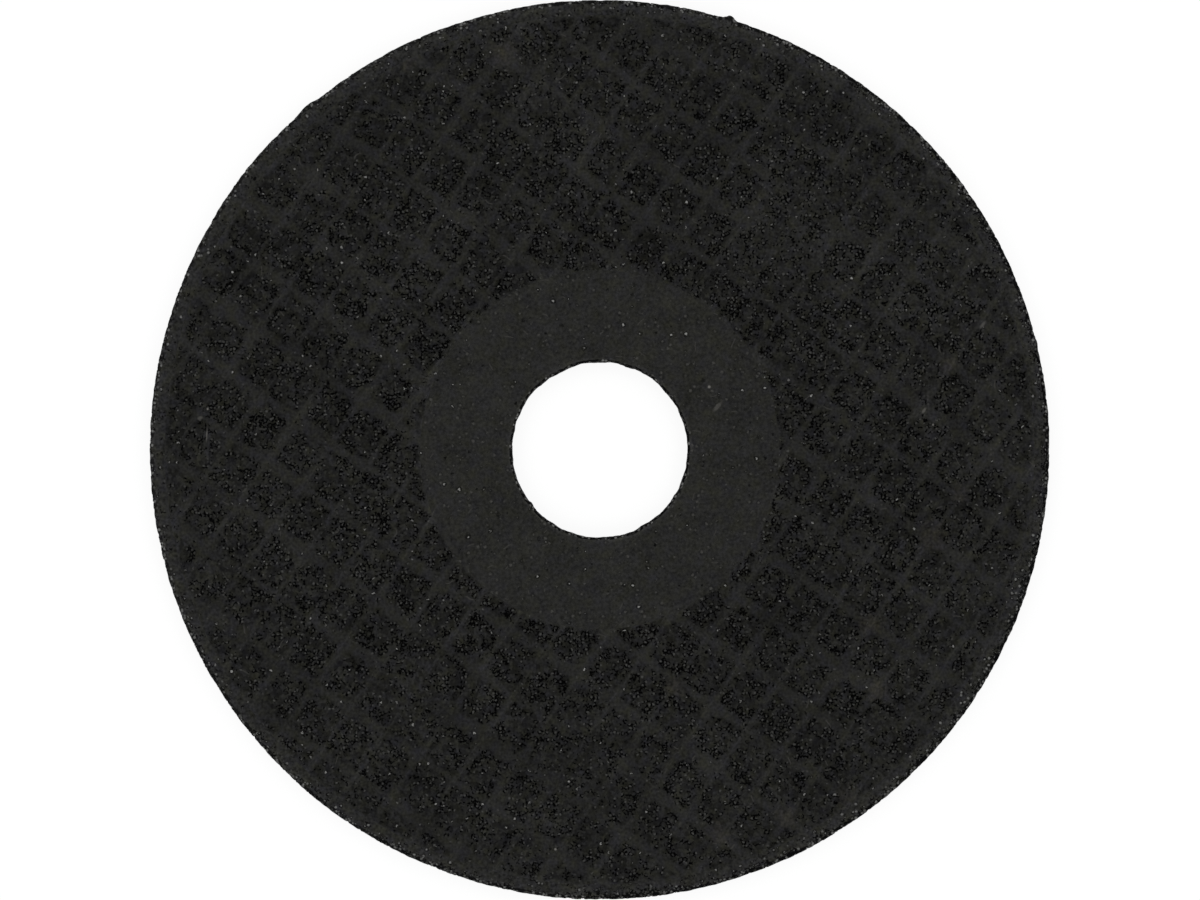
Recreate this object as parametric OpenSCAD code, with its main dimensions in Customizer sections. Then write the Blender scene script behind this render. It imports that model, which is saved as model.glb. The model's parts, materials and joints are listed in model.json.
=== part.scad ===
// Flat cut off wheel: one moulded disc of abrasive grain in resin, with a plain arbor bore.
// It lies on its lower face, with the bore along +Z and the origin at the bore's lower end.
// The glass mesh moulded in under each face shows as flush strands with gritty windows sunk between them.

/* [Wheel] */
// Outside diameter of the wheel
wheel_d = 115; // [100:1:180]
// Thickness of the wheel over its two faces
wheel_t = 3; // [1.6:0.1:6]
// Diameter of the arbor bore
bore_d = 22.23; // [16:0.01:25.4]
// Size of the small break along the two rim edges
edge_break = 0.2; // [0.1:0.05:0.4]

/* [Faces] */
// Diameter of the smooth hub on each face, which the clamping flanges bear on
hub_d = 45.8; // [34:0.2:60]
// Width of the smooth band along the rim of each face
rim_w = 2; // [1:0.1:6]

/* [Glass mesh] */
// Spacing of the narrow strands, from centre line to centre line
narrow_pitch = 5.36; // [4:0.02:10]
// Spacing of the wide strands, from centre line to centre line
wide_pitch = 6.65; // [4:0.05:12]
// Width of a narrow strand halfway between two wide ones
narrow_w = 0.7; // [0.5:0.05:1.5]
// Width of a narrow strand where it meets a wide one
knot_w = 1.45; // [0.5:0.05:2]
// Width of a wide strand
wide_w = 1.45; // [0.5:0.05:2]
// How far the windows lie below the strands
window_depth = 0.25; // [0.1:0.05:0.6]
// How far a window's corners stray from a regular outline
window_stray = 0.18; // [0:0.02:0.24]
// Direction in which the narrow strands of the upper mesh run, in degrees
upper_turn = 55; // [0:1:180]
// Direction in which the narrow strands of the lower mesh run, in degrees
lower_turn = 14; // [0:1:180]

/* [Hidden] */

// Segments of a full circle
$fn = 120;
// How far a cut runs past the face that it opens
overrun = 1;

wheel_r = wheel_d / 2;
hub_r = hub_d / 2;
window_field_r = wheel_r - rim_w;

// Where the upper mesh lies over the bore's axis, in shares of its two pitches
upper_shift_shares = [0.176, 0.681];
// The same for the lower mesh
lower_shift_shares = [0.41, 0.27];
// First seeds of the corners' stray, upper and lower
upper_seed = 11;
lower_seed = 5011;

// Outline of one window, centred, with its long sides bowed out between the knots
function window_outline() =
    let (waist = (narrow_pitch - narrow_w) / 2,
         end = (narrow_pitch - knot_w) / 2,
         reach = (wide_pitch - wide_w) / 2)
    [[waist, 0], [end, reach], [-end, reach], [-waist, 0], [-end, -reach], [end, -reach]];

// The same outline with each corner strayed a little
function strayed(outline, seed) =
    let (stray = rands(-window_stray, window_stray, 2 * len(outline), seed))
    [for (i = [0:len(outline) - 1]) outline[i] + [stray[2 * i], stray[2 * i + 1]]];

// Outlines of one mesh's windows, before the hub and rim bands clip them.
// Small slivers beside the bands are left out: a window's centre stays a strand's width clear of them.
module window_outlines(turn, shift_shares, seed) {
    outline = window_outline();
    columns = ceil(window_field_r / narrow_pitch) + 1;
    rows = ceil(window_field_r / wide_pitch) + 1;
    rotate(turn - 90)
        for (i = [-columns:columns], j = [-rows:rows]) {
            place = [(i + shift_shares[0]) * narrow_pitch, (j + shift_shares[1]) * wide_pitch];
            if (norm(place) > hub_r + narrow_w && norm(place) < window_field_r - wide_w)
                translate(place)
                    polygon(strayed(outline, seed + (i + columns) * (2 * rows + 1) + j + rows));
        }
}

// The gritty windows of one face, which open upwards from the level zero
module windows(turn, shift_shares, seed) {
    translate([0, 0, -window_depth])
        linear_extrude(window_depth + overrun)
            intersection() {
                window_outlines(turn, shift_shares, seed);
                difference() {
                    circle(r = window_field_r);
                    circle(r = hub_r);
                }
            }
}

// The pressed blank: a ring with broken rim edges
module blank() {
    rotate_extrude()
        polygon([
            [bore_d / 2, 0],
            [wheel_r - edge_break, 0],
            [wheel_r, edge_break],
            [wheel_r, wheel_t - edge_break],
            [wheel_r - edge_break, wheel_t],
            [bore_d / 2, wheel_t]
        ]);
}

module cut_off_wheel() {
    color([0.14, 0.14, 0.14])
        difference() {
            blank();
            translate([0, 0, wheel_t])
                windows(upper_turn, upper_shift_shares, upper_seed);
            mirror([0, 0, 1])
                windows(lower_turn, lower_shift_shares, lower_seed);
        }
}

cut_off_wheel();
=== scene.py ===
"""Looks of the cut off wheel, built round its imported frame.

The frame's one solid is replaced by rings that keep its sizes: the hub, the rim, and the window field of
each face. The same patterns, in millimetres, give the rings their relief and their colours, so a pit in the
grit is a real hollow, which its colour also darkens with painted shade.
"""

import json
import math

import bmesh
import bpy
from mathutils import Matrix, Vector


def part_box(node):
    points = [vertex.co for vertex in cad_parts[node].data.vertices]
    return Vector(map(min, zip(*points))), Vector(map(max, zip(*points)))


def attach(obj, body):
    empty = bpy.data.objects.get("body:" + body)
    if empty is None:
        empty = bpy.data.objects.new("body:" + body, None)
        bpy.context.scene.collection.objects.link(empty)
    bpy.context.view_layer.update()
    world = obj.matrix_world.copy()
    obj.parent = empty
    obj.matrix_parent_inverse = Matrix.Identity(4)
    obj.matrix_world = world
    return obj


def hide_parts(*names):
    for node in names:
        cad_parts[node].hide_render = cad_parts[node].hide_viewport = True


MM = 0.001

# Sizes in millimetres that the frame doesn't say by itself, as in the part's source
HUB_D = 45.8
RIM_W = 2.0
EDGE_BREAK = 0.2
NARROW_PITCH = 5.36
WIDE_PITCH = 6.65
NARROW_W = 0.7
KNOT_W = 1.45
WIDE_W = 1.45
WINDOW_DEPTH = 0.25

# The two faces: direction of the mesh in degrees, and its place in shares of the two pitches. Then the spots
# where the weave is half buried in grit, and those where the face is rubbed light: place and size of each.
UPPER_FACE = {
    "turn": 55.0,
    "shift": (0.176, 0.681),
    "buried": (
        ((25.0, 27.4), 11.0),
        ((-1.8, -39.7), 11.0),
        ((-24.2, -30.8), 8.0),
    ),
    "rubbed": (
        ((-12.5, 50.7), 2.2),
        ((-24.7, 49.5), 1.5),
        ((44.6, 10.7), 1.5),
        ((45.9, -5.7), 1.8),
        ((42.6, -10.9), 2.6),
        ((34.6, -22.2), 2.2),
        ((9.7, -30.3), 1.7),
        ((35.4, -30.9), 1.7),
        ((31.6, -44.2), 1.9),
        ((23.9, -47.0), 1.9),
        ((15.3, -49.0), 1.9),
    ),
}
LOWER_FACE = {"turn": 14.0, "shift": (0.41, 0.27), "buried": (), "rubbed": ()}

# Light marks on the upper face, and painted glints as the round ones at full strength: middle, direction in
# degrees, half length, half width and strength
MARKS_AND_GLINTS = (
    ((-50.2, 1.95), 88.0, 0.95, 0.11, 0.5),
    ((-51.05, 4.05), 20.0, 0.4, 0.25, 0.35),
    ((15.05, 5.5), 49.0, 0.85, 0.28, 0.3),
    ((41.4, 5.0), 55.0, 0.45, 0.2, 0.45),
    ((48.9, 15.95), 52.0, 0.6, 0.22, 0.35),
    ((13.98, 8.03), 0.0, 0.2, 0.2, 1.0),
    ((-50.1, 5.2), 0.0, 0.15, 0.15, 1.0),
    ((42.6, 3.2), 0.0, 0.15, 0.15, 1.0),
    ((-5.65, -51.0), 0.0, 0.17, 0.17, 1.0),
)

# How far the wide strands lean from a right angle, as a slope
STRAND_LEAN = 0.008

# How ragged the windows' borders are, and how much the strands' width drifts over the face
RAGGED_SIZE = 0.85
RAGGED_REACH = 1.25
DRIFT_SIZE = 11.0
DRIFT_REACH = 1.5

# Where a window and its open brink start and end, in millimetres past the strands
WINDOW_START = (-0.35, 0.25)
BRINK_START = (-0.2, 0.2)
BRINK_END = (1.3, 0.5)

# Half buried weave: how much of it is covered, and what a window and its brink are there
BURIED_SHARE = 0.8
BURIED_WINDOW = 0.7
BURIED_BRINK = 0.3
SPOT_STRAY_SIZE = 1.2

# Streaks along a narrow strand: their length, how much finer they are across it, their share, their reach
# in shares of its width, and their tone
YARN_LENGTH = 3.0
YARN_FINENESS = 12.0
YARN_STREAK = (0.4, 0.65)
YARN_REACH = (0.6, 0.3)
YARN_TONE = 0.25

# The grit: size of a grain, depth of the pits between grains, and how much the grains' tops differ
GRAIN_SIZE = 0.5
PIT_DEPTH = 0.22
GRAIN_STEP = 0.1

# How the grains lie: their stray from a regular pattern, and the patches in which the grit is closed
STRAY_SIZE = 0.5
STRAY_REACH = 0.3
CLOSING = 0.25
PATCH_SIZE = 2.4
PATCH_REACH = 0.5
OUTER_OPENNESS = 0.8
STRAND_OPENNESS = 0.2
CENTRE_OPENNESS = 0.9
BRINK_OPENNESS = 1.15
OUTER_START = 0.7
BARE_CLOSING = 2.0
BARE_SOFT = 0.08

# The crevice round a grain, in shares of the grain's size, and how it is broken into crescents
RING_START = 0.3
RING_END = 0.58
RING_SHARE = 0.51
RING_SOFT = 0.1
CRESCENT_SIZE = 0.34
CRESCENT_START = 0.4
CRESCENT_END = 0.52

# Small holes between the grains
HOLE_SIZE = 0.34
HOLE_START = 0.76
HOLE_REACH = 0.48
HOLE_LEAST = -0.1
HOLE_EDGE = (0.08, -0.06)

# Grains with a painted highlight: how proud they are, how far it reaches, and how much less on a strand
CAP_START = 0.25
CAP_EDGE = (0.42, 0.06)
STRAND_CAP = 0.6

# How detailed a noise is, and the middle of its range
SMOOTH = 0.0
SOFT = 1.0
ROUGH = 2.0
RICH = 3.0
NOISE_MIDDLE = 0.5

# Sizes of the uneven patches of tone and warmth
FINE_SIZE = 0.36
BROAD_SIZE = 4.0
CAST_SIZE = 1.4
CAST_SHIFT = 31.0
CAST_WARMTH = 0.2
SLOW_SIZE = 16.0
SLOW_SHARE = 0.5

# Cells that hold a fleck or a fibre, and the sizes of both. Ranges are where a form fades in or out.
FLECK_CELL = 1.0
FLECK_STRAY_SIZE = 0.25
FLECK_STRAY = 0.35
FLECK_STRENGTH = (0.3, 1.1, 0.12, 1.0)
FLECK_LEAST = 0.4
FLECK_EDGE = (1.3, 0.5)
# Where the ring of painted shade round a fleck starts and ends
FLECK_SHADE_START = (1.1, 1.5)
FLECK_SHADE_END = (2.6, 1.9)
FIBRE_CELL = 2.4
FIBRE_LENGTH = 1.5
FIBRE_W = 0.1
FIBRE_BEND_SIZE = 1.2
FIBRE_BEND = 0.6
FIBRE_END = (0.5, 0.3)

# Spacing of the meshes' points
FIELD_STEP = 0.19
LOWER_STEP = 0.34
BAND_STEP = 0.25
RIM_STEP = 0.2
SECTORS = 3
MERGE_DISTANCE = 0.001

# The edges of rim and bore, lines of painted shade with painted glints on bare grains: width of the line,
# size of a grain, how both fade, and how far the line goes down the wall
RIM_LINE = 0.46
BORE_LINE = 0.3
BEAD_SIZE = 0.42
BEAD_EDGE = (0.6, 0.25)
BEAD_START = 0.35
BEAD_GAP = (0.8, 0.95)
RIM_LINE_SOFT = 0.08
RIM_LINE_STRAY = 0.6
RIM_LINE_WEAR = 0.7
BORE_LINE_SOFT = 0.06
LINE_DEPTH = (0.8, 0.4)

# Direction in degrees in which the rim is most worn, and how patchy the wear is
WORN_SIDE = 330.0
WEAR_SIZE = 5.0
WEAR_STRAY = 1.8
WEAR_RANGE = (-1.0, 0.8)

# How open the grit is on the walls and on the rim's band, and how far in from the edge each starts
WORN_BAND = (1.6, 0.5)
BAND_OPENNESS = (0.3, 1.15)
WALL_START = (0.3, 0.1)
WALL_OPENNESS = 0.85
BORE_OPENNESS = 0.75

# Borders of the window field: how far they stray, and how soft they are
BORDER_SIZE = 0.8
BORDER_STRAY = 1.0
BORDER_SOFT = 0.5

# A ring is spun in a narrow part of so many steps, which is then doubled so many times
PART_STEPS = 15
SECTOR_DOUBLINGS = 5
LOWER_DOUBLINGS = 6
HUB_DOUBLINGS = 5
RIM_DOUBLINGS = 7
SHARP_ANGLE = math.radians(60)

# The flat maps for baking: free border, scale of what is hidden and of a ring laid inside another
BAKE_MAP = "OFBake"
MAP_MARGIN = 0.01
ASIDE = 0.2
NESTED = 0.92
TOUCHING = 0.05

# Chips along the bore's upper edge: direction in degrees, size
BORE_CHIPS = ((213.3, 0.7), (332.1, 0.8), (36.4, 0.6))

# Lumps that stand into the bore: direction in degrees, half length, and how far each stands in
BORE_LUMPS = ((70.5, 1.0, 0.1), (117.5, 1.7, 0.13), (218.5, 0.5, 0.13), (300.0, 0.7, 0.1))

# Marks on the rim: direction in degrees, half length along the rim, and how far it stands out
RIM_MARKS = (
    (73.2, 1.1, 0.45),
    (130.5, 2.6, 0.26),
    (142.0, 14.0, 0.14),
    (13.7, 1.2, 0.12),
    (106.0, 6.0, -0.08),
    (90.0, 0.9, -0.1),
    (250.0, 22.0, -0.05),
)

# Relief of hub and rim: the still strip beside the window field, and the step from face to wall. Dents are
# given by the size of their noise, the level under which it counts, and the depth for each unit under it.
STILL_W = 0.4
WALL_SOFT = 0.08
DRAWN_OUT = (1.0, 1.0, 0.2)
HUB_DENTS = (0.7, 1.0, 0.02)
BORE_DENTS = (0.45, 0.8, 0.14)
RIM_KNOCKS = (4.0, 0.6, 0.12)
RIM_NICKS = (1.1, 0.65, 0.22)
BAND_ROUGH = 0.2
RIM_GIVE = (1.2, 0.3)
BORE_EDGE = (0.2, 0.5)
BORE_GIVE = (1.0, 0.3)
WIDENING_SIZE = 2.0
WIDENING_START = 0.3
WIDENING = 0.45
CHIP_DEPTH = 0.45
FACE_LEVEL = 1.0

# The finishes: unevenness of tone and cast, share of the cells with a fibre, share and size of the flecks,
# of which glints and beads are painted highlights, how dark the painted shade round a fleck is, and how
# much closer together some of them lie
WINDOW_MOTTLE = {"Fine": 1.85, "Broad": 1.1, "Cast": 0.55}
HUB_MOTTLE = {"Fine": 2.0, "Broad": 0.7, "Cast": 0.47}
RIM_MOTTLE = {"Fine": 3.0, "Broad": 0.7, "Cast": 0.6}
WINDOW_FIBRES = 0.12
HUB_FIBRES = 0.25
WINDOW_GLINTS = (0.15, 0.13)
HUB_GLINTS = (0.25, 0.16)
HUB_SPECKS = (0.8, 0.36)
HUB_PITS = (0.3, 0.2)
RIM_BEADS = (0.35, 0.8)
RIM_BEADS_INWARD = 0.25
RIM_BEAD_SIZE = 0.41
GLINT_SHADE_RING = 0.8
SPECK_SHADE_RING = 0.3
SPECK_CLOSENESS = 1.7
BEAD_CLOSENESS = 2.3

# Tones and roughness of the finishes, where they change, and the height of their bumps
GRAIN_TONES = (1.3, 0.6)
RUBBED_SHARE = 0.7
# The pit's share at which its painted shade is full
PIT_SHADE = 0.62
BESIDE_HUB = 1.6
BESIDE_BAND = 1.2
BORE_PALE = (0.9, 0.25)
BORE_TONE = 1.5
RIM_TONES = (0.95, 1.25)
MARK_EDGE = (1.3, 0.4)
GRIT_ROUGHNESS = 0.65
SKIN_ROUGHNESS = 0.7
SKIN_GRAIN = 0.2
SKIN_BUMP = 0.02
PIT_BUMP = -0.1
CAP_BUMP = 0.05

# Colours, as they are under plain light. The pit and edge colours are painted shade; the cap, bead and glint
# colours are painted highlights, and so is the mark colour on the round marks.
SKIN_COLOUR = (0.0206, 0.0206, 0.0190)
BAND_COLOUR = (0.0214, 0.0214, 0.0203)
STRAND_COLOUR = (0.0177, 0.0177, 0.0165)
GRIT_COLOUR = (0.0151, 0.0151, 0.0140)
PAINTED_SHADE = (0.0004, 0.0004, 0.0004)
PAINTED_EDGE_SHADE = (0.0005, 0.0005, 0.0006)
BEAD_GLINT_COLOUR = (0.155, 0.155, 0.15)
PAINTED_CAP_HIGHLIGHT = (0.062, 0.062, 0.059)
RUBBED_COLOUR = (0.0262, 0.0247, 0.0218)
GLINT_COLOUR = (0.25, 0.25, 0.24)
FIBRE_COLOUR = (0.040, 0.039, 0.036)
SPECK_COLOUR = (0.055, 0.054, 0.050)
MARK_AND_GLINT_COLOUR = (0.15, 0.145, 0.135)
MATT_SPECULAR = 0.04
FIRST_PLACE = "first place"

# The photograph's view: its width on the wheel's face in millimetres, and its middle
PHOTO_W = 153.2
PHOTO_MIDDLE = (0.04, -0.03)
CAMERA_DISTANCE = 450.0
SENSOR_W = 36.0

# The floor, the sky and the nearest that the camera sees, in metres and in the shaders' own units
FLOOR_SIZE = 6.0
FLOOR_SHADE = 0.16
FLOOR_GLOW = 0.88
FLOOR_PLAIN = 0.8
SKY_STRENGTH = 0.4
CLIP_START = 0.01


class Chain:
    """Adds nodes to one tree and joins them, so that a pattern reads as a few lines of sums."""

    def __init__(self, tree, dimensions="3D"):
        self.tree = tree
        self.dimensions = dimensions

    def add(self, kind, inputs, output=0, **settings):
        """One node with its settings. An input is a number, a colour or another node's output."""
        node = self.tree.nodes.new(kind)
        for name, value in settings.items():
            setattr(node, name, value)
        for name, value in inputs.items():
            if isinstance(value, bpy.types.NodeSocket):
                self.tree.links.new(value, node.inputs[name])
            else:
                node.inputs[name].default_value = value
        return node if output is None else node.outputs[output]

    def sums(self, operation, first, second=0.0, third=0.0):
        return self.add("ShaderNodeMath", {0: first, 1: second, 2: third}, operation=operation)

    def vectors(self, operation, first, second=(0.0, 0.0, 0.0), output=0):
        return self.add("ShaderNodeVectorMath", {0: first, 1: second}, output, operation=operation)

    def ramp(self, value, low, high, to_low=0.0, to_high=1.0):
        """A soft step from to_low, where the value is low, to to_high."""
        inputs = {"Value": value, "From Min": low, "From Max": high, "To Min": to_low, "To Max": to_high}
        return self.add("ShaderNodeMapRange", inputs, interpolation_type="SMOOTHSTEP")

    def blend(self, share, first, second):
        inputs = {0: share, 2: first, 3: second}
        return self.add("ShaderNodeMix", inputs, data_type="FLOAT", clamp_factor=True)

    def tint(self, share, first, second, way="MIX"):
        """The first colour, blended with the second."""
        inputs = {0: share, 6: with_alpha(first), 7: with_alpha(second)}
        return self.add("ShaderNodeMix", inputs, 2, data_type="RGBA", blend_type=way, clamp_factor=True)

    def clouds(self, place, size, detail=SOFT, output=0):
        """Soft noise round 0.5, with lumps of that size in millimetres."""
        inputs = {"Vector": place, "Scale": 1 / size, "Detail": detail, "Roughness": 0.5}
        return self.add("ShaderNodeTexNoise", inputs, output, noise_dimensions=self.dimensions,
                        normalize=True)

    def stray(self, place, size, detail=SOFT):
        """Soft noise round 0."""
        return self.sums("SUBTRACT", self.clouds(place, size, detail), NOISE_MIDDLE)

    def strayed(self, place, size, reach, detail=SMOOTH):
        """The place moved a little by soft noise."""
        away = self.vectors("SUBTRACT", self.clouds(place, size, detail, "Color"), (NOISE_MIDDLE,) * 3)
        return self.vectors("ADD", place, self.vectors("MULTIPLY", away, (reach,) * 3))

    def turned(self, place, angle):
        return self.add("ShaderNodeVectorRotate", {"Vector": place, "Angle": angle}, rotation_type="Z_AXIS")

    def flat(self, place):
        """The place without its height."""
        return self.vectors("MULTIPLY", place, (1.0, 1.0, 0.0))

    def cells(self, place, size):
        """Cells of that size in millimetres: the distance from a cell's middle in shares of the size, the
        middle, and three random numbers of the cell.
        """
        inputs = {"Vector": place, "Scale": 1 / size}
        cell = self.add("ShaderNodeTexVoronoi", inputs, None, voronoi_dimensions=self.dimensions).outputs
        numbers = self.add("ShaderNodeSeparateXYZ", {0: cell["Color"]}, None).outputs
        return cell["Distance"], cell["Position"], numbers

    def group(self, tree, **inputs):
        """One of the groups below, with its values. Its outputs are found by name."""
        kind = "ShaderNodeGroup" if self.tree.bl_idname == "ShaderNodeTree" else "GeometryNodeGroup"
        node = self.add(kind, {}, None, node_tree=tree)
        for name, value in inputs.items():
            if isinstance(value, bpy.types.NodeSocket):
                self.tree.links.new(value, node.inputs[name])
            else:
                node.inputs[name].default_value = value
        return node.outputs


def with_alpha(colour):
    return colour if isinstance(colour, bpy.types.NodeSocket) else (*colour, 1.0)


def make_group(name, tree_kind, dimensions, inputs, outputs, build):
    """A node group with named inputs and outputs, whose inside is made by build."""
    tree = bpy.data.node_groups.new(name, tree_kind)
    for label, kind in inputs.items():
        tree.interface.new_socket(name=label, in_out="INPUT", socket_type=kind)
    for label, kind in outputs.items():
        tree.interface.new_socket(name=label, in_out="OUTPUT", socket_type=kind)
    start = tree.nodes.new("NodeGroupInput")
    end = tree.nodes.new("NodeGroupOutput")
    found = build(Chain(tree, dimensions), start.outputs)
    for label, socket in found.items():
        tree.links.new(socket, end.inputs[label])
    return tree


def mesh_windows(chain, given):
    """Inside is 0 on the strands of the glass mesh, and 1 in the gritty windows between them.

    Brink is 1 along the windows' borders, where the grit is most open. Yarn is 1 along the middle of a
    narrow strand, in streaks.
    """
    place = given["Place"]
    turned = chain.turned(place, given["Turn"])
    across = chain.add("ShaderNodeSeparateXYZ", {0: turned}, None).outputs
    shift = chain.add("ShaderNodeSeparateXYZ", {0: given["Shift"]}, None).outputs

    from_narrow = strand_distance(chain, across["X"], shift["X"], NARROW_PITCH)
    leaning = chain.sums("MULTIPLY_ADD", across["X"], -STRAND_LEAN, across["Y"])
    from_wide = strand_distance(chain, leaning, shift["Y"], WIDE_PITCH)
    nearness = chain.ramp(from_wide, WIDE_PITCH / 2, 0.0)
    narrow_half = chain.blend(nearness, NARROW_W / 2, KNOT_W / 2)
    past_narrow = chain.sums("SUBTRACT", from_narrow, narrow_half)
    past_wide = chain.sums("SUBTRACT", from_wide, WIDE_W / 2)
    clear = chain.sums("MINIMUM", past_narrow, past_wide)

    ragged = chain.stray(place, RAGGED_SIZE, ROUGH)
    clear = chain.sums("MULTIPLY_ADD", ragged, RAGGED_REACH, clear)
    drift = chain.stray(place, DRIFT_SIZE)
    clear = chain.sums("MULTIPLY_ADD", drift, DRIFT_REACH, clear)
    inside = chain.ramp(clear, *WINDOW_START)
    brink = chain.sums("MULTIPLY", chain.ramp(clear, *BRINK_START), chain.ramp(clear, *BRINK_END))

    lengthwise = chain.vectors("MULTIPLY", turned, (YARN_FINENESS, 1.0, 1.0))
    streak = chain.ramp(chain.clouds(lengthwise, YARN_LENGTH, ROUGH), *YARN_STREAK)
    reach = [NARROW_W * share for share in YARN_REACH]
    yarn = chain.sums("MULTIPLY", streak, chain.ramp(from_narrow, *reach))
    return {"Inside": inside, "Brink": brink, "Yarn": yarn}


def strand_distance(chain, along, shift, pitch):
    """How far a place is from the middle of the nearest of a row of strands."""
    start = chain.sums("MULTIPLY_ADD", shift, -pitch, along)
    start = chain.sums("SUBTRACT", start, pitch / 2)
    return chain.sums("PINGPONG", start, pitch / 2)


def grit(chain, given):
    """Pit is 1 in the crevices round the grains, real hollows that the colours also darken with painted
    shade, and Cap is 1 on top of the grains that get a painted highlight.

    Openness is 0 where the grit lies closed under the resin, and 1 where it is open.
    """
    place = given["Place"]
    strayed = chain.strayed(place, STRAY_SIZE, STRAY_REACH, SOFT)
    patch = chain.stray(place, PATCH_SIZE)
    closed = chain.sums("MULTIPLY", chain.sums("SUBTRACT", 1.0, given["Openness"]), CLOSING)
    closed = chain.sums("MULTIPLY_ADD", patch, PATCH_REACH, closed)

    near, _, number = chain.cells(strayed, GRAIN_SIZE)
    bared = chain.sums("SUBTRACT", number["X"], chain.sums("MULTIPLY", closed, BARE_CLOSING))
    bared = chain.ramp(bared, 1 - RING_SHARE - BARE_SOFT, 1 - RING_SHARE + BARE_SOFT)
    ring = chain.ramp(near, RING_START, RING_START + RING_SOFT)
    ring = chain.sums("MULTIPLY", ring, chain.ramp(near, RING_END + RING_SOFT, RING_END))
    crescent = chain.sums("SUBTRACT", chain.clouds(place, CRESCENT_SIZE, SMOOTH), closed)
    crescent = chain.ramp(crescent, CRESCENT_START, CRESCENT_END)
    crevice = chain.sums("MULTIPLY", chain.sums("MULTIPLY", ring, crescent), bared)

    hole_near, _, hole_number = chain.cells(strayed, HOLE_SIZE)
    hole_share = chain.sums("SUBTRACT", hole_number["X"], closed)
    hole_reach = chain.ramp(hole_share, HOLE_START, 1.0, HOLE_LEAST, HOLE_REACH)
    hole = chain.ramp(chain.sums("SUBTRACT", hole_near, hole_reach), *HOLE_EDGE)
    pit = chain.sums("MAXIMUM", crevice, hole)

    proud = chain.sums("MULTIPLY", bared, chain.ramp(number["Y"], CAP_START, 1.0))
    cap = chain.sums("MULTIPLY", chain.ramp(near, *CAP_EDGE), proud)
    return {"Pit": pit, "Grain": number["Z"], "Cap": cap}


def mottle(chain, given):
    """Tint is a colour round white that makes a surface's tone and its olive cast uneven."""
    place = given["Place"]
    fine = chain.stray(place, FINE_SIZE, RICH)
    broad = chain.stray(place, BROAD_SIZE, RICH)
    apart = chain.vectors("ADD", place, (CAST_SHIFT,) * 3)
    cast = chain.stray(apart, CAST_SIZE)
    tone = chain.sums("MULTIPLY_ADD", fine, given["Fine"], 1.0)
    tone = chain.sums("MULTIPLY_ADD", broad, given["Broad"], tone)
    shift = chain.sums("MULTIPLY", chain.sums("MULTIPLY", cast, given["Cast"]), tone)
    warm = chain.sums("MULTIPLY_ADD", shift, CAST_WARMTH, tone)
    blue = chain.sums("SUBTRACT", tone, shift)
    return {"Tint": chain.add("ShaderNodeCombineXYZ", {0: warm, 1: warm, 2: blue})}


def flecks(chain, given):
    """Small spots, strewn thinly. Fleck is up to 1 on a spot, and Ring up to 1 round it, for painted shade.
    """
    place = given["Place"]
    place = chain.strayed(place, FLECK_STRAY_SIZE, FLECK_STRAY)
    near, _, number = chain.cells(place, FLECK_CELL)
    held = chain.sums("LESS_THAN", number["X"], given["Share"])
    strength = chain.sums("MULTIPLY", chain.ramp(number["Z"], *FLECK_STRENGTH), held)
    size = chain.sums("MULTIPLY", chain.ramp(number["Y"], 0.0, 1.0, FLECK_LEAST, 1.0), given["Size"])
    reach = chain.sums("DIVIDE", near, size)
    spot = chain.ramp(reach, *FLECK_EDGE)
    ring = chain.sums("MULTIPLY", chain.ramp(reach, *FLECK_SHADE_START), chain.ramp(reach, *FLECK_SHADE_END))
    return {"Fleck": chain.sums("MULTIPLY", spot, strength), "Ring": chain.sums("MULTIPLY", ring, strength)}


def fibres(chain, given):
    """Thin short strokes that lie every way: Fibre is 1 on a stroke.

    Share is the part of the cells that hold one.
    """
    place = given["Place"]
    bent = chain.strayed(place, FIBRE_BEND_SIZE, FIBRE_BEND)
    _, middle, number = chain.cells(bent, FIBRE_CELL)
    own = chain.vectors("SUBTRACT", bent, middle)
    angle = chain.sums("MULTIPLY", number["Y"], math.pi)
    turned = chain.turned(own, angle)
    across = chain.add("ShaderNodeSeparateXYZ", {0: turned}, None).outputs
    length = chain.ramp(number["Z"], 0.0, 1.0, FIBRE_LENGTH / 4, FIBRE_LENGTH)
    along = chain.ramp(chain.sums("DIVIDE", chain.sums("ABSOLUTE", across["X"]), length), *FIBRE_END)
    thin = chain.ramp(chain.sums("ABSOLUTE", across["Y"]), FIBRE_W, FIBRE_W / 4)
    held = chain.sums("LESS_THAN", number["X"], given["Share"])
    return {"Fibre": chain.sums("MULTIPLY", chain.sums("MULTIPLY", along, thin), held)}


WINDOW_INPUTS = {"Place": "NodeSocketVector", "Turn": "NodeSocketFloat", "Shift": "NodeSocketVector"}
WINDOW_OUTPUTS = {"Inside": "NodeSocketFloat", "Brink": "NodeSocketFloat", "Yarn": "NodeSocketFloat"}
GRIT_INPUTS = {"Place": "NodeSocketVector", "Openness": "NodeSocketFloat"}
GRIT_OUTPUTS = {"Pit": "NodeSocketFloat", "Grain": "NodeSocketFloat", "Cap": "NodeSocketFloat"}
MOTTLE_INPUTS = {"Place": "NodeSocketVector", "Fine": "NodeSocketFloat", "Broad": "NodeSocketFloat",
                 "Cast": "NodeSocketFloat"}
FIBRE_INPUTS = {"Place": "NodeSocketVector", "Share": "NodeSocketFloat"}
FLECK_INPUTS = {"Place": "NodeSocketVector", "Share": "NodeSocketFloat", "Size": "NodeSocketFloat"}


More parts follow.
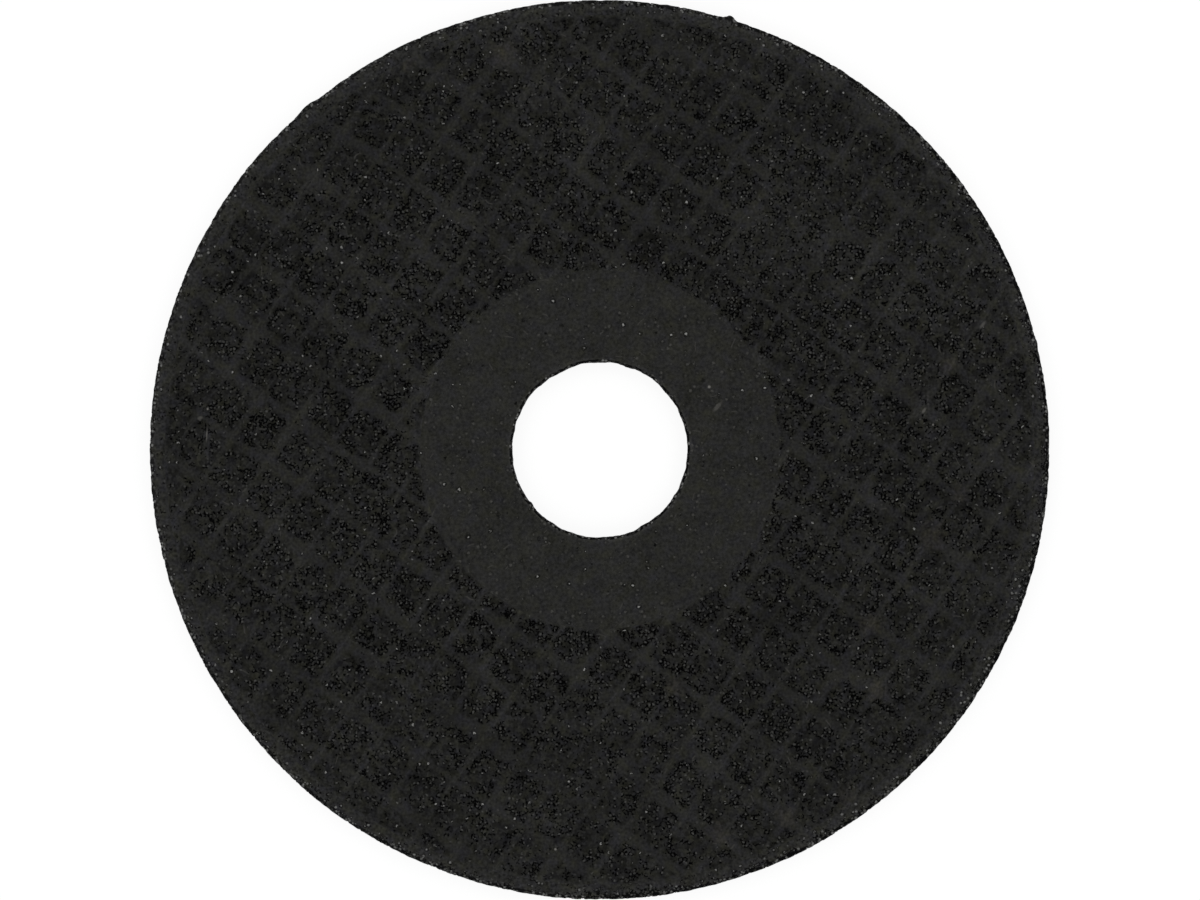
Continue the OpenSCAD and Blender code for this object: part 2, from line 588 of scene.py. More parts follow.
def pattern_groups(tree_kind, dimensions):
    """The patterns as node groups, for materials or the relief, and for flat faces or solid shapes."""
    label = (" relief" if tree_kind == "GeometryNodeTree" else "") + (", flat" if dimensions == "2D" else "")
    made = {}
    for name, inputs, outputs, build in (
        ("mesh windows", WINDOW_INPUTS, WINDOW_OUTPUTS, mesh_windows),
        ("grit", GRIT_INPUTS, GRIT_OUTPUTS, grit),
        ("mottle", MOTTLE_INPUTS, {"Tint": "NodeSocketColor"}, mottle),
        ("flecks", FLECK_INPUTS, {"Fleck": "NodeSocketFloat", "Ring": "NodeSocketFloat"}, flecks),
        ("fibres", FIBRE_INPUTS, {"Fibre": "NodeSocketFloat"}, fibres),
    ):
        made[name] = make_group(name + label, tree_kind, dimensions, inputs, outputs, build)
    return made


def spotted(chain, place, spots):
    """1 in the middle of each spot, and 0 away from them."""
    stray = chain.stray(place, SPOT_STRAY_SIZE, ROUGH)
    most = 0.0
    for (x, y), size in spots:
        away = chain.vectors("DISTANCE", place, (x, y, 0.0), "Value")
        away = chain.sums("MULTIPLY_ADD", stray, size, away)
        near = chain.ramp(away, size, size / 4)
        most = chain.sums("MAXIMUM", near, most)
    return most


def marks_and_glints(chain, place, colour):
    """A colour with the light marks and the painted glints of the upper face over it."""
    flat = chain.flat(place)
    for (x, y), direction, half_length, half_width, strength in MARKS_AND_GLINTS:
        own = chain.vectors("SUBTRACT", flat, (x, y, 0.0))
        turned = chain.turned(own, -math.radians(direction))
        shares = chain.vectors("MULTIPLY", turned, (1 / half_length, 1 / half_width, 0.0))
        mark = chain.ramp(chain.vectors("LENGTH", shares, output="Value"), *MARK_EDGE, 0.0, strength)
        colour = chain.tint(mark, colour, MARK_AND_GLINT_COLOUR)
    return colour


def field_share(chain, place):
    """0 along the ragged borders with the hub and the rim band, and 1 in the window field between them."""
    radius = chain.vectors("LENGTH", place, output="Value")
    stray = chain.stray(place, BORDER_SIZE, ROUGH)
    stray = chain.sums("MULTIPLY", stray, BORDER_STRAY)
    past_hub = chain.sums("SUBTRACT", radius, HUB_R)
    past_rim = chain.sums("SUBTRACT", FIELD_R, radius)
    least = chain.sums("MINIMUM", past_hub, past_rim)
    ragged = chain.ramp(chain.sums("ADD", least, stray), 0.0, BORDER_SOFT)
    return chain.sums("MULTIPLY", ragged, chain.ramp(least, 0.0, BORDER_SOFT / 3))


def field_patterns(chain, groups, place, face):
    """Window and grit patterns of one face, by name. Pit is how deep a place lies in a pit."""
    windows = chain.group(groups["mesh windows"], Place=place, Turn=math.radians(90 - face["turn"]),
                          Shift=(*face["shift"], 0.0))
    inside = windows["Inside"]
    brink = windows["Brink"]
    rubbed = 0.0
    if face["buried"]:
        buried = chain.sums("MULTIPLY", spotted(chain, place, face["buried"]), BURIED_SHARE)
        inside = chain.blend(buried, inside, BURIED_WINDOW)
        brink = chain.blend(buried, brink, BURIED_BRINK)
    share = field_share(chain, place)
    inside = chain.sums("MULTIPLY", inside, share)
    radius = chain.vectors("LENGTH", place, output="Value")
    outwards = chain.ramp(radius, OUTER_START * FIELD_R, FIELD_R, 1.0, OUTER_OPENNESS)
    openness = chain.blend(inside, STRAND_OPENNESS, chain.blend(brink, CENTRE_OPENNESS, BRINK_OPENNESS))
    openness = chain.sums("MULTIPLY", openness, outwards)
    if face["rubbed"]:
        rubbed = spotted(chain, place, face["rubbed"])
        openness = chain.blend(rubbed, openness, 0.0)
    grains = chain.group(groups["grit"], Place=place, Openness=openness)
    pit = chain.sums("MULTIPLY", grains["Pit"], share)
    cap = chain.sums("MULTIPLY", grains["Cap"], chain.blend(inside, STRAND_CAP, 1.0))
    return {"inside": inside, "pit": pit, "grain": grains["Grain"], "cap": cap,
            "yarn": windows["Yarn"], "rubbed": rubbed}


def relief_tree(name, dimensions, build):
    """A geometry tree that moves a ring's points by the offset that build gives.

    Each point keeps its first place in millimetres, for the colours' patterns.
    """
    tree = bpy.data.node_groups.new(name, "GeometryNodeTree")
    tree.interface.new_socket(name="Geometry", in_out="INPUT", socket_type="NodeSocketGeometry")
    tree.interface.new_socket(name="Geometry", in_out="OUTPUT", socket_type="NodeSocketGeometry")
    start = tree.nodes.new("NodeGroupInput")
    end = tree.nodes.new("NodeGroupOutput")
    chain = Chain(tree, dimensions)
    place = chain.vectors("SCALE", chain.add("GeometryNodeInputPosition", {}))
    place.node.inputs["Scale"].default_value = 1 / MM
    named = {"Geometry": start.outputs[0], "Name": FIRST_PLACE}
    kept = chain.add("GeometryNodeStoreNamedAttribute", named, None,
                     data_type="FLOAT_VECTOR", domain="POINT")
    tree.links.new(place, next(s for s in kept.inputs if s.name == "Value" and s.enabled))
    offset = chain.vectors("SCALE", build(chain, place))
    offset.node.inputs["Scale"].default_value = MM
    moved = chain.add("GeometryNodeSetPosition", {"Geometry": kept.outputs[0], "Offset": offset})
    tree.links.new(moved, end.inputs[0])
    return tree


def field_relief(groups, side, face):
    """Relief of one face's windows. Side is 1 for the upper face and -1 for the lower one."""

    def build(chain, place):
        flat = chain.flat(place)
        found = field_patterns(chain, groups, flat, face)
        window = chain.sums("MULTIPLY", found["inside"], -WINDOW_DEPTH)
        step = chain.sums("MULTIPLY", found["grain"], found["inside"])
        depth = chain.sums("MULTIPLY_ADD", step, -GRAIN_STEP, window)
        depth = chain.sums("MULTIPLY_ADD", found["pit"], -PIT_DEPTH, depth)
        height = chain.add("ShaderNodeSeparateXYZ", {0: place}, None).outputs["Z"]
        from_middle = chain.sums("ABSOLUTE", chain.sums("SUBTRACT", height, MIDDLE))
        on_face = chain.sums("GREATER_THAN", from_middle, FACE_LEVEL)
        lift = chain.sums("MULTIPLY", chain.sums("MULTIPLY", depth, on_face), side)
        return chain.add("ShaderNodeCombineXYZ", {"Z": lift})

    return relief_tree("window relief", "2D", build)


def lay_flat(bm, spread):
    """Gives a ring the flat map through which its look can be baked.

    Spread gives the share, the fall and the middle with which a face is laid out, from its radius and height.
    """
    layer = bm.loops.layers.uv.new(BAKE_MAP)
    for face in bm.faces:
        middle = face.calc_center_median() / MM
        share, fall, shift = spread(math.hypot(middle.x, middle.y), middle.z)
        level = WHEEL_T if middle.z > MIDDLE else 0.0
        for loop in face.loops:
            x, y, z = loop.vert.co / MM
            radius = math.hypot(x, y)
            laid = share * (radius + fall * abs(level - z)) / radius
            loop[layer].uv = (laid * x + shift[0], laid * y + shift[1])
    corners = [loop[layer] for face in bm.faces for loop in face.loops]
    least = Vector((min(corner.uv.x for corner in corners), min(corner.uv.y for corner in corners)))
    most = Vector((max(corner.uv.x for corner in corners), max(corner.uv.y for corner in corners)))
    size = max(most - least) * (1 + 2 * MAP_MARGIN)
    for corner in corners:
        corner.uv = (corner.uv - least) / size + Vector((MAP_MARGIN, MAP_MARGIN))


def ring(name, outline, cuts, doublings, spread, sweep=math.tau, start=0.0):
    """A ring, or a part of one, swept round the bore's axis from a closed outline of radius and height.

    A narrow part is spun first, and then doubled until it fills the sweep.
    """
    bm = bmesh.new()
    corners = [bm.verts.new(Vector((r * math.cos(start), r * math.sin(start), z)) * MM) for r, z in outline]
    sides = [bm.edges.new((corner, corners[(i + 1) % len(corners)])) for i, corner in enumerate(corners)]
    for side, count in zip(sides, cuts):
        if count:
            bmesh.ops.subdivide_edges(bm, edges=[side], cuts=count)
    part = sweep / 2 ** doublings
    bmesh.ops.spin(bm, geom=bm.verts[:] + bm.edges[:], cent=(0, 0, 0), axis=(0, 0, 1), angle=part,
                   steps=PART_STEPS, use_merge=False)
    for _ in range(doublings):
        copied = bmesh.ops.duplicate(bm, geom=bm.verts[:] + bm.edges[:] + bm.faces[:])["geom"]
        points = [item for item in copied if isinstance(item, bmesh.types.BMVert)]
        bmesh.ops.rotate(bm, verts=points, cent=(0, 0, 0), matrix=Matrix.Rotation(part, 3, "Z"))
        part *= 2
    bmesh.ops.remove_doubles(bm, verts=bm.verts[:], dist=MERGE_DISTANCE * MM)
    bmesh.ops.holes_fill(bm, edges=[edge for edge in bm.edges if edge.is_boundary], sides=0)
    bmesh.ops.recalc_face_normals(bm, faces=bm.faces[:])
    lay_flat(bm, spread)
    mesh = bpy.data.meshes.new(name)
    bm.to_mesh(mesh)
    bm.free()
    mesh.shade_smooth()
    mesh.set_sharp_from_angle(angle=SHARP_ANGLE)
    piece = bpy.data.objects.new(name, mesh)
    bpy.context.scene.collection.objects.link(piece)
    return piece


def pressed(piece, relief):
    """Gives a piece its relief for good."""
    modifier = piece.modifiers.new("relief", "NODES")
    modifier.node_group = relief
    graph = bpy.context.evaluated_depsgraph_get()
    mesh = bpy.data.meshes.new_from_object(piece.evaluated_get(graph), preserve_all_data_layers=True,
                                           depsgraph=graph)
    piece.modifiers.clear()
    piece.data = mesh


def cuts_for(length, step):
    return max(round(length / step) - 1, 0)


def field_spread(level):
    """The window face is laid out as it is, and the faces inside the wheel small in the hub's place."""

    def spread(radius, height):
        return (1.0, 0.0, (0.0, 0.0)) if abs(height - level) < TOUCHING else (ASIDE, 1.0, (0.0, 0.0))

    return spread


def make_upper_sectors(relief, material):
    pieces = []
    spread = field_spread(WHEEL_T)
    outline = [(HUB_R, MIDDLE), (HUB_R, WHEEL_T), (FIELD_R, WHEEL_T), (FIELD_R, MIDDLE)]
    cuts = [0, cuts_for(FIELD_R - HUB_R, FIELD_STEP), 0, 0]
    sweep = math.tau / SECTORS
    for i in range(SECTORS):
        piece = ring(f"upper_field_{i + 1}", outline, cuts, SECTOR_DOUBLINGS, spread, sweep, i * sweep)
        pressed(piece, relief)
        piece.data.materials.append(material)
        pieces.append(piece)
    return pieces


def make_lower_field(relief, material):
    outline = [(HUB_R, 0.0), (HUB_R, MIDDLE), (FIELD_R, MIDDLE), (FIELD_R, 0.0)]
    cuts = [0, 0, 0, cuts_for(FIELD_R - HUB_R, LOWER_STEP)]
    piece = ring("lower_field", outline, cuts, LOWER_DOUBLINGS, field_spread(0.0))
    pressed(piece, relief)
    piece.data.materials.append(material)
    return piece


def around(direction, radius, height=0.0):
    """A place given by its direction from the axis in degrees."""
    angle = math.radians(direction)
    return radius * math.cos(angle), radius * math.sin(angle), height


def dents(chain, place, size, start, depth, detail=SOFT):
    """Hollows where soft noise of that size is under start, negative, and 0 elsewhere."""
    under = chain.sums("SUBTRACT", chain.clouds(place, size, detail), start)
    return chain.sums("MINIMUM", chain.sums("MULTIPLY", under, depth), 0.0)


def hub_relief():
    """The hub's faces are nearly smooth. Its bore is rough, with a few chips along the upper edge."""

    def build(chain, place):
        radius = level_radius(chain, place)
        free = chain.ramp(radius, HUB_R, HUB_R - STILL_W)
        face = dents(chain, place, *HUB_DENTS, ROUGH)
        face = chain.sums("MULTIPLY", face, chain.ramp(radius, BORE_R + BORE_EDGE[0], BORE_R + BORE_EDGE[1]))
        wall = chain.ramp(radius, BORE_R + WALL_SOFT, BORE_R)
        rough = chain.sums("MULTIPLY", dents(chain, place, *BORE_DENTS, ROUGH), wall)
        depth = chain.sums("ADD", face, rough)
        for direction, size in BORE_CHIPS:
            away = chain.vectors("DISTANCE", place, around(direction, BORE_R, WHEEL_T), "Value")
            bite = chain.ramp(away, size, 0.0)
            depth = chain.sums("MULTIPLY_ADD", bite, -CHIP_DEPTH * size, depth)
        depth = chain.sums("MULTIPLY", depth, free)
        edge = chain.ramp(radius, BORE_R + BORE_GIVE[0], BORE_R + BORE_GIVE[1])
        drawn_out = chain.vectors("MULTIPLY", place, DRAWN_OUT)
        uneven = chain.sums("SUBTRACT", chain.clouds(drawn_out, WIDENING_SIZE, ROUGH), WIDENING_START)
        widened = chain.sums("MULTIPLY", chain.sums("MAXIMUM", uneven, 0.0), WIDENING)
        flat = chain.flat(place)
        for direction, size, amount in BORE_LUMPS:
            away = chain.vectors("DISTANCE", flat, around(direction, BORE_R), "Value")
            lump = chain.ramp(away, size, size / 3)
            widened = chain.sums("MULTIPLY_ADD", lump, -amount, widened)
        widened = chain.sums("MULTIPLY", widened, edge)
        along_normal = scaled(chain, chain.add("GeometryNodeInputNormal", {}), depth)
        outward = scaled(chain, outward_from_axis(chain, place), widened)
        return chain.vectors("ADD", along_normal, outward)

    return relief_tree("hub relief", "3D", build)


def hub_spread(radius, height):
    """The two faces lie corner to corner, each with its half of the bore's wall folded into the bore."""
    away = HUB_R * (1 + MAP_MARGIN) / math.sqrt(2)
    if radius > HUB_R - TOUCHING:
        return ASIDE, 1.0, (away, away)
    away = away if height > MIDDLE else -away
    return 1.0, -1.0, (away, away)


def make_hub(relief, material):
    bore_break = 0.16
    outline = [
        (BORE_R, bore_break), (BORE_R, WHEEL_T - bore_break), (BORE_R + bore_break, WHEEL_T),
        (HUB_R, WHEEL_T), (HUB_R, 0.0), (BORE_R + bore_break, 0.0),
    ]
    band = cuts_for(HUB_R - BORE_R, BAND_STEP)
    cuts = [cuts_for(WHEEL_T, RIM_STEP), 0, band, 0, band, 0]
    piece = ring("hub", outline, cuts, HUB_DOUBLINGS, hub_spread)
    pressed(piece, relief)
    piece.data.materials.append(material)
    return piece


def rim_wear(chain, place):
    """How worn the rim is, from 0 to 1: most on one side, and in patches."""
    outward = outward_from_axis(chain, place)
    towards = chain.vectors("DOT_PRODUCT", outward, around(WORN_SIDE, 1.0), "Value")
    stray = chain.stray(place, WEAR_SIZE)
    return chain.ramp(chain.sums("MULTIPLY_ADD", stray, WEAR_STRAY, towards), *WEAR_RANGE)


def rim_openness(chain, place):
    """How open the rim's grit is: closed on the band, open on the wall and along a worn edge."""
    radius = level_radius(chain, place)
    beside = chain.ramp(radius, WHEEL_R - WORN_BAND[0], WHEEL_R - WORN_BAND[1])
    band = chain.blend(chain.sums("MULTIPLY", beside, rim_wear(chain, place)), *BAND_OPENNESS)
    wall = chain.ramp(radius, WHEEL_R - WALL_START[0], WHEEL_R - WALL_START[1])
    return chain.blend(wall, band, WALL_OPENNESS)


def rim_relief(groups):
    """The rim's wall is gritty and a little uneven, with a few knocks. Its two edges follow it."""

    def build(chain, place):
        radius = level_radius(chain, place)
        free = chain.ramp(radius, FIELD_R, FIELD_R + STILL_W)
        wall = chain.ramp(radius, WHEEL_R - WALL_SOFT, WHEEL_R)
        grains = chain.group(groups["grit"], Place=place, Openness=rim_openness(chain, place))
        rough = chain.sums("MULTIPLY", grains["Pit"], -PIT_DEPTH)
        rough = chain.sums("MULTIPLY", rough, chain.blend(wall, BAND_ROUGH, 1.0))
        rough = chain.sums("MULTIPLY", rough, free)
        drawn_out = chain.vectors("MULTIPLY", place, DRAWN_OUT)
        knocks = dents(chain, drawn_out, *RIM_KNOCKS)
        reach = chain.sums("ADD", knocks, dents(chain, drawn_out, *RIM_NICKS))
        flat = chain.flat(place)
        for direction, size, amount in RIM_MARKS:
            away = chain.vectors("DISTANCE", flat, around(direction, WHEEL_R), "Value")
            reach = chain.sums("MULTIPLY_ADD", chain.ramp(away, size, 0.0), amount, reach)
        give = chain.ramp(radius, WHEEL_R - RIM_GIVE[0], WHEEL_R - RIM_GIVE[1])
        reach = chain.sums("MULTIPLY", reach, give)
        along_normal = scaled(chain, chain.add("GeometryNodeInputNormal", {}), rough)
        outward = scaled(chain, outward_from_axis(chain, place), reach)
        return chain.vectors("ADD", along_normal, outward)

    return relief_tree("rim relief", "3D", build)


def outward_from_axis(chain, place):
    return chain.vectors("NORMALIZE", chain.flat(place))


def scaled(chain, vector, length):
    lengths = chain.add("ShaderNodeCombineXYZ", {0: length, 1: length, 2: length})
    return chain.vectors("MULTIPLY", vector, lengths)


def rim_spread(radius, height):
    """Each band has its half of the wall folded outwards, and the lower one lies inside the upper one."""
    if radius < FIELD_R + TOUCHING:
        return ASIDE, 1.0, (0.0, 0.0)
    return (1.0 if height > MIDDLE else NESTED), 1.0, (0.0, 0.0)


def make_rim(relief, material):
    outline = [
        (FIELD_R, 0.0), (FIELD_R, WHEEL_T), (WHEEL_R - EDGE_BREAK, WHEEL_T), (WHEEL_R, WHEEL_T - EDGE_BREAK),
        (WHEEL_R, EDGE_BREAK), (WHEEL_R - EDGE_BREAK, 0.0),
    ]
    band = cuts_for(RIM_W, RIM_STEP)
    cuts = [0, band, 1, cuts_for(WHEEL_T, RIM_STEP), 1, band]
    piece = ring("rim", outline, cuts, RIM_DOUBLINGS, rim_spread)
    pressed(piece, relief)
    piece.data.materials.append(material)
    return piece


def finish(name, dimensions, paint):
    """A matt material. Paint gives its colour, its roughness, and the height of its bumps or None."""
    material = bpy.data.materials.new(name)
    material.use_nodes = True
    tree = material.node_tree
    tree.nodes.clear()
    chain = Chain(tree, dimensions)
    place = chain.add("ShaderNodeAttribute", {}, "Vector", attribute_name=FIRST_PLACE)
    colour, roughness, height = paint(chain, place)
    inputs = {"Base Color": colour, "Roughness": roughness, "Specular IOR Level": MATT_SPECULAR}
    if height is not None:
        inputs["Normal"] = chain.add("ShaderNodeBump", {"Height": height, "Distance": MM, "Strength": 1.0})
    shader = chain.add("ShaderNodeBsdfPrincipled", inputs)
    chain.add("ShaderNodeOutputMaterial", {"Surface": shader}, None)
    return material


def toned(chain, colour, tone):
    """A colour made lighter or darker by a number round 1."""
    grey = chain.add("ShaderNodeCombineColor", {0: tone, 1: tone, 2: tone})
    return chain.tint(1.0, colour, grey, "MULTIPLY")


def level_radius(chain, place):
    """Distance from the bore's axis."""
    return chain.vectors("LENGTH", chain.flat(place), output="Value")


def near_faces(chain, place):
    """1 at the level of the two faces, and 0 on a wall between them."""
    height = chain.add("ShaderNodeSeparateXYZ", {0: place}, None).outputs["Z"]
    from_middle = chain.sums("ABSOLUTE", chain.sums("SUBTRACT", height, MIDDLE))
    stray = chain.stray(place, BORDER_SIZE, ROUGH)
    return chain.ramp(chain.sums("ADD", from_middle, stray), MIDDLE - LINE_DEPTH[0], MIDDLE - LINE_DEPTH[1])


def beaded_edge(chain, place, colour, edge, wear=1.0):
    """Bare grains with painted glints along an edge, and painted shade between. Edge is 1 on the line."""
    near, _, numbers = chain.cells(place, BEAD_SIZE)
    bead = chain.sums("MULTIPLY", chain.ramp(near, *BEAD_EDGE), chain.ramp(numbers["X"], BEAD_START, 1.0))
    gap = chain.ramp(chain.sums("ADD", near, numbers["Y"]), *BEAD_GAP)
    line = chain.tint(chain.sums("MULTIPLY", gap, wear), colour, PAINTED_EDGE_SHADE)
    line = chain.tint(bead, line, BEAD_GLINT_COLOUR)
    return chain.tint(edge, colour, line)


def flecked(chain, groups, place, colour, share, size, fleck_colour, ring=GLINT_SHADE_RING):
    """A colour with small spots strewn over it, each in a ring of painted shade."""
    spots = chain.group(groups["flecks"], Place=place, Share=share, Size=size)
    colour = chain.tint(chain.sums("MULTIPLY", spots["Ring"], ring), colour, PAINTED_SHADE)
    return chain.tint(spots["Fleck"], colour, fleck_colour)


def window_face(groups, face):
    def paint(chain, place):
        flat = chain.flat(place)
        found = field_patterns(chain, groups, flat, face)
        radius = level_radius(chain, place)
        beside = chain.ramp(radius, HUB_R + BESIDE_HUB, HUB_R)
        strand = chain.tint(beside, STRAND_COLOUR, SKIN_COLOUR)
        beside = chain.ramp(radius, FIELD_R - BESIDE_BAND, FIELD_R)
        strand = chain.tint(beside, strand, BAND_COLOUR)
        colour = chain.tint(found["inside"], strand, GRIT_COLOUR)
        colour = chain.tint(chain.sums("MULTIPLY", found["rubbed"], RUBBED_SHARE), colour, RUBBED_COLOUR)
        uneven = chain.group(groups["mottle"], Place=flat, **WINDOW_MOTTLE)["Tint"]
        colour = chain.tint(1.0, colour, uneven, "MULTIPLY")
        grain_tone = chain.blend(found["inside"], 1.0, chain.ramp(found["grain"], 0.0, 1.0, *GRAIN_TONES))
        grain_tone = chain.sums("MULTIPLY_ADD", found["yarn"], YARN_TONE, grain_tone)
        slow = chain.stray(flat, SLOW_SIZE)
        grain_tone = chain.sums("MULTIPLY_ADD", slow, SLOW_SHARE, grain_tone)
        colour = toned(chain, colour, grain_tone)
        # Painted highlights on the grains' tops
        colour = chain.tint(found["cap"], colour, PAINTED_CAP_HIGHLIGHT)
        fibre = chain.group(groups["fibres"], Place=flat, Share=WINDOW_FIBRES)["Fibre"]
        colour = chain.tint(fibre, colour, FIBRE_COLOUR)
        # Painted glints, each in a ring of painted shade
        colour = flecked(chain, groups, flat, colour, *WINDOW_GLINTS, GLINT_COLOUR)
        # Painted shade in the pits between the grains
        colour = chain.tint(chain.ramp(found["pit"], 0.0, PIT_SHADE), colour, PAINTED_SHADE)
        # Light marks, and painted glints at the round ones
        if face is UPPER_FACE:
            colour = marks_and_glints(chain, place, colour)
        return colour, chain.blend(found["pit"], GRIT_ROUGHNESS, 1.0), None

    return paint


def smooth_skin(groups):
    def paint(chain, place):
        uneven = chain.group(groups["mottle"], Place=place, **HUB_MOTTLE)["Tint"]
        colour = chain.tint(1.0, SKIN_COLOUR, uneven, "MULTIPLY")
        fibre = chain.group(groups["fibres"], Place=place, Share=HUB_FIBRES)["Fibre"]
        colour = chain.tint(fibre, colour, FIBRE_COLOUR)
        # Light specks, each in a ring of painted shade
        closer = chain.vectors("MULTIPLY", place, (SPECK_CLOSENESS,) * 3)
        colour = flecked(chain, groups, closer, colour, *HUB_SPECKS, SPECK_COLOUR, SPECK_SHADE_RING)
        # Small dark pits on the hub, shown only as painted shade
        apart = chain.vectors("ADD", place, (CAST_SHIFT,) * 3)
        colour = flecked(chain, groups, apart, colour, *HUB_PITS, PAINTED_SHADE, 0.0)
        # Painted glints, each in a ring of painted shade
        colour = flecked(chain, groups, place, colour, *HUB_GLINTS, GLINT_COLOUR)
        # Light marks, and painted glints at the round ones
        colour = marks_and_glints(chain, place, colour)
        radius = level_radius(chain, place)
        beside = chain.ramp(radius, BORE_R + BORE_PALE[0], BORE_R + BORE_PALE[1])
        colour = toned(chain, colour, chain.blend(beside, 1.0, BORE_TONE))
        # Along the bore's edge, grit with painted highlights and painted shade, and over it a line of painted
        # shade with painted glints on bare grains
        edge = chain.ramp(radius, BORE_R + BORE_LINE + BORE_LINE_SOFT, BORE_R + BORE_LINE)
        grains = chain.group(groups["grit"], Place=place, Openness=BORE_OPENNESS)
        wall = chain.tint(grains["Cap"], chain.tint(1.0, GRIT_COLOUR, uneven, "MULTIPLY"), PAINTED_CAP_HIGHLIGHT)
        wall = chain.tint(grains["Pit"], wall, PAINTED_SHADE)
        colour = chain.tint(edge, colour, wall)
        colour = beaded_edge(chain, place, colour, chain.sums("MULTIPLY", edge, near_faces(chain, place)))
        height = chain.sums("MULTIPLY", chain.clouds(place, SKIN_GRAIN), SKIN_BUMP)
        return colour, SKIN_ROUGHNESS, height

    return paint


def rim_skin(groups):
    def paint(chain, place):
        uneven = chain.group(groups["mottle"], Place=place, **RIM_MOTTLE)["Tint"]
        colour = chain.tint(1.0, BAND_COLOUR, uneven, "MULTIPLY")
        radius = level_radius(chain, place)
        wear = rim_wear(chain, place)
        grains = chain.group(groups["grit"], Place=place, Openness=rim_openness(chain, place))
        colour = toned(chain, colour, chain.ramp(radius, FIELD_R, WHEEL_R, *RIM_TONES))
        # Painted highlights on the grains' tops
        colour = chain.tint(grains["Cap"], colour, PAINTED_CAP_HIGHLIGHT)
        # Painted glints on bare grains near the edge, most where the rim is worn
        closer = chain.vectors("MULTIPLY", place, (BEAD_CLOSENESS,) * 3)
        band = [WHEEL_R - inward for inward in WORN_BAND]
        beside = chain.ramp(radius, *band, RIM_BEADS_INWARD, 1.0)
        share = chain.sums("MULTIPLY", beside, chain.blend(wear, *RIM_BEADS))
        colour = flecked(chain, groups, closer, colour, share, RIM_BEAD_SIZE, BEAD_GLINT_COLOUR, 1.0)
        # Painted shade in the pits of the grit
        colour = chain.tint(grains["Pit"], colour, PAINTED_SHADE)
        # A line of painted shade along the rim's edge, with painted glints on bare grains
        stray = chain.stray(place, BORDER_SIZE)
        beside = chain.sums("MULTIPLY_ADD", stray, RIM_LINE_STRAY, radius)
        edge = chain.ramp(beside, WHEEL_R - RIM_LINE - RIM_LINE_SOFT, WHEEL_R - RIM_LINE)
        edge = chain.sums("MULTIPLY", edge, near_faces(chain, place))
        colour = beaded_edge(chain, place, colour, edge, chain.blend(wear, RIM_LINE_WEAR, 1.0))
        height = chain.sums("MULTIPLY", grains["Pit"], PIT_BUMP)
        height = chain.sums("MULTIPLY_ADD", grains["Cap"], CAP_BUMP, height)
        return colour, SKIN_ROUGHNESS, height

    return paint


def add_floor():
    """A white floor. The camera sees it glow, with the wheel's shadow left on it."""
    bpy.ops.mesh.primitive_plane_add(size=FLOOR_SIZE, location=(0, 0, 0))
    floor = bpy.context.object
    floor.name = "floor"
    material = bpy.data.materials.new("white floor")
    material.use_nodes = True
    tree = material.node_tree
    tree.nodes.clear()
    chain = Chain(tree)
    seen = seen_directly(chain)
    lit = chain.add("ShaderNodeBsdfDiffuse", {"Color": with_alpha((FLOOR_SHADE,) * 3)})
    glow = chain.add("ShaderNodeEmission", {"Color": (1.0, 1.0, 1.0, 1.0), "Strength": FLOOR_GLOW})
    shown = chain.add("ShaderNodeAddShader", {0: lit, 1: glow})
    plain = chain.add("ShaderNodeBsdfDiffuse", {"Color": with_alpha((FLOOR_PLAIN,) * 3)})
    mixed = chain.add("ShaderNodeMixShader", {0: seen, 1: plain, 2: shown})
    chain.add("ShaderNodeOutputMaterial", {"Surface": mixed}, None)
    floor.data.materials.append(material)


def seen_directly(chain):
    """1 for the camera's rays, and for those that a gloss or glass sends on."""
    rays = chain.add("ShaderNodeLightPath", {}, None).outputs
    seen = chain.sums("MAXIMUM", rays["Is Camera Ray"], rays["Is Glossy Ray"])
    return chain.sums("MAXIMUM", seen, rays["Is Transmission Ray"])


def add_light():
    """A dim even sky and a ring of large soft lamps."""
    world = bpy.data.worlds.new("studio")
    bpy.context.scene.world = world
    world.use_nodes = True
    tree = world.node_tree
    tree.nodes.clear()
    chain = Chain(tree)
    strength = chain.blend(seen_directly(chain), SKY_STRENGTH, 1.0)
    sky = chain.add("ShaderNodeBackground", {"Color": (1.0, 1.0, 1.0, 1.0), "Strength": strength})
    chain.add("ShaderNodeOutputWorld", {"Surface": sky}, None)

    lamps, lamp_power, lamp_size = 4, 1.6, 0.7
    away, height = 0.6, 0.8
    for i in range(lamps):
        angle = math.tau * (i + 0.5) / lamps
        data = bpy.data.lights.new(f"soft_lamp_{i + 1}", "AREA")
        data.energy = lamp_power
        data.size = lamp_size
        lamp = bpy.data.objects.new(data.name, data)
        lamp.location = (away * math.cos(angle), away * math.sin(angle), height)
        lamp.rotation_euler = lamp.location.to_track_quat("Z", "Y").to_euler()
        bpy.context.scene.collection.objects.link(lamp)


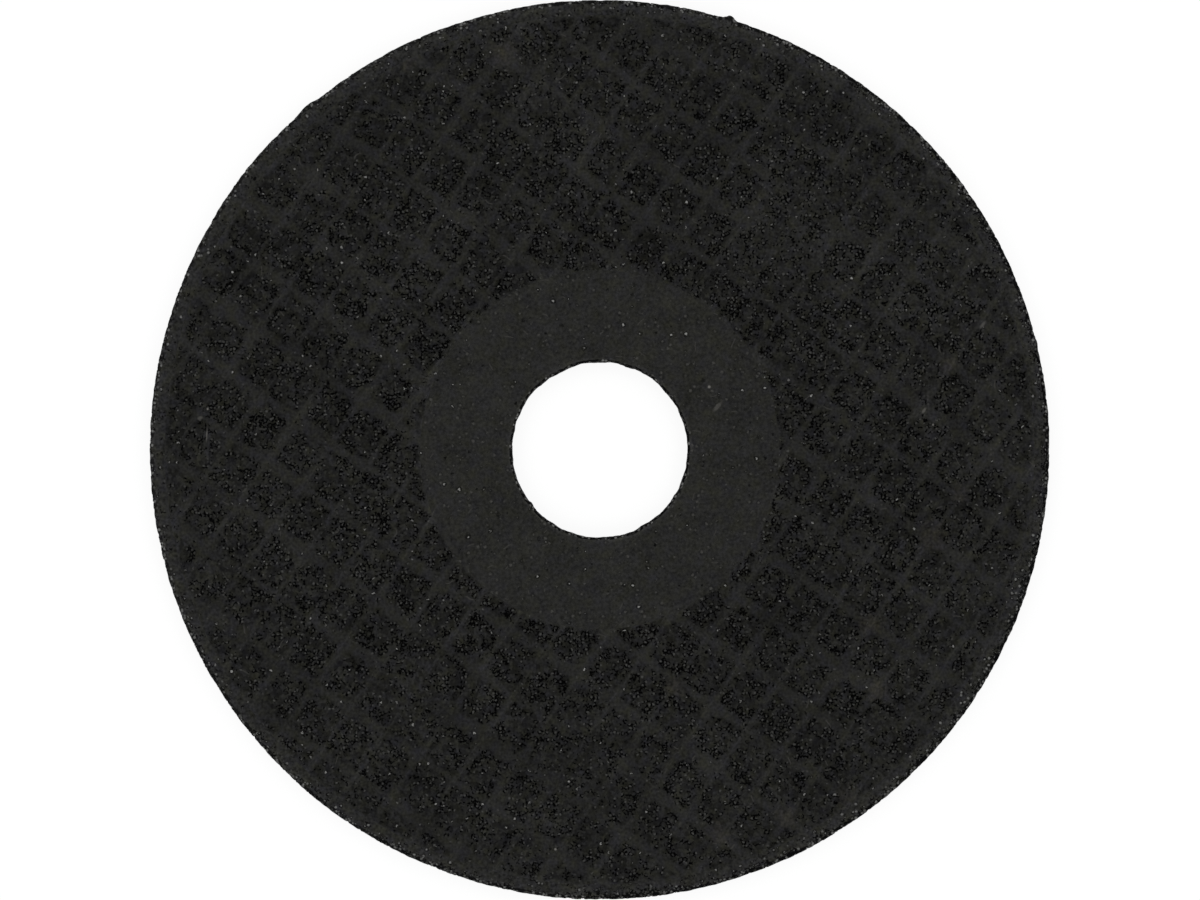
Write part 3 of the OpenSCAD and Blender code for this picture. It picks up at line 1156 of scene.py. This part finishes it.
def add_camera():
    """Straight above the lying wheel, as the photograph was taken."""
    data = bpy.data.cameras.new("photo_camera")
    data.sensor_width = SENSOR_W
    data.lens = SENSOR_W * CAMERA_DISTANCE / PHOTO_W
    data.clip_start = CLIP_START
    camera = bpy.data.objects.new("photo_camera", data)
    camera.location = Vector((*PHOTO_MIDDLE, WHEEL_T + CAMERA_DISTANCE)) * MM
    bpy.context.scene.collection.objects.link(camera)
    bpy.context.scene.camera = camera


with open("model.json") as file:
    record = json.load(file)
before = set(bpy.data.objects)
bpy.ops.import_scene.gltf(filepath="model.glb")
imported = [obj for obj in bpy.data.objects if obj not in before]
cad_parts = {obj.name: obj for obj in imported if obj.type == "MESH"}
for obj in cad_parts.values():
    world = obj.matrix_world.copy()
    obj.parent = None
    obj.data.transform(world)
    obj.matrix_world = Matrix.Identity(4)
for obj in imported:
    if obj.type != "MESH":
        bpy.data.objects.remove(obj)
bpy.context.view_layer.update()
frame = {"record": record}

lowest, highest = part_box("cut_off_wheel")
bore_mount = frame["record"]["mounts"][0]
WHEEL_R = highest.x / MM
WHEEL_T = highest.z / MM
BORE_R = bore_mount["dims"]["r_mm"]
HUB_R = HUB_D / 2
FIELD_R = WHEEL_R - RIM_W
MIDDLE = WHEEL_T / 2

flat_shades = pattern_groups("ShaderNodeTree", "2D")
solid_shades = pattern_groups("ShaderNodeTree", "3D")
flat_reliefs = pattern_groups("GeometryNodeTree", "2D")
solid_reliefs = pattern_groups("GeometryNodeTree", "3D")

upper_relief = field_relief(flat_reliefs, 1.0, UPPER_FACE)
lower_relief = field_relief(flat_reliefs, -1.0, LOWER_FACE)
upper_face = finish("upper window face", "2D", window_face(flat_shades, UPPER_FACE))
lower_face = finish("lower window face", "2D", window_face(flat_shades, LOWER_FACE))

pieces = make_upper_sectors(upper_relief, upper_face)
pieces.append(make_lower_field(lower_relief, lower_face))
pieces.append(make_hub(hub_relief(), finish("pressed hub", "3D", smooth_skin(solid_shades))))
pieces.append(make_rim(rim_relief(solid_reliefs), finish("gritty rim", "3D", rim_skin(solid_shades))))
for piece in pieces:
    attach(piece, "root")
    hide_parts("cut_off_wheel")

add_floor()
add_light()
add_camera()
bpy.context.scene.view_settings.view_transform = "Standard"
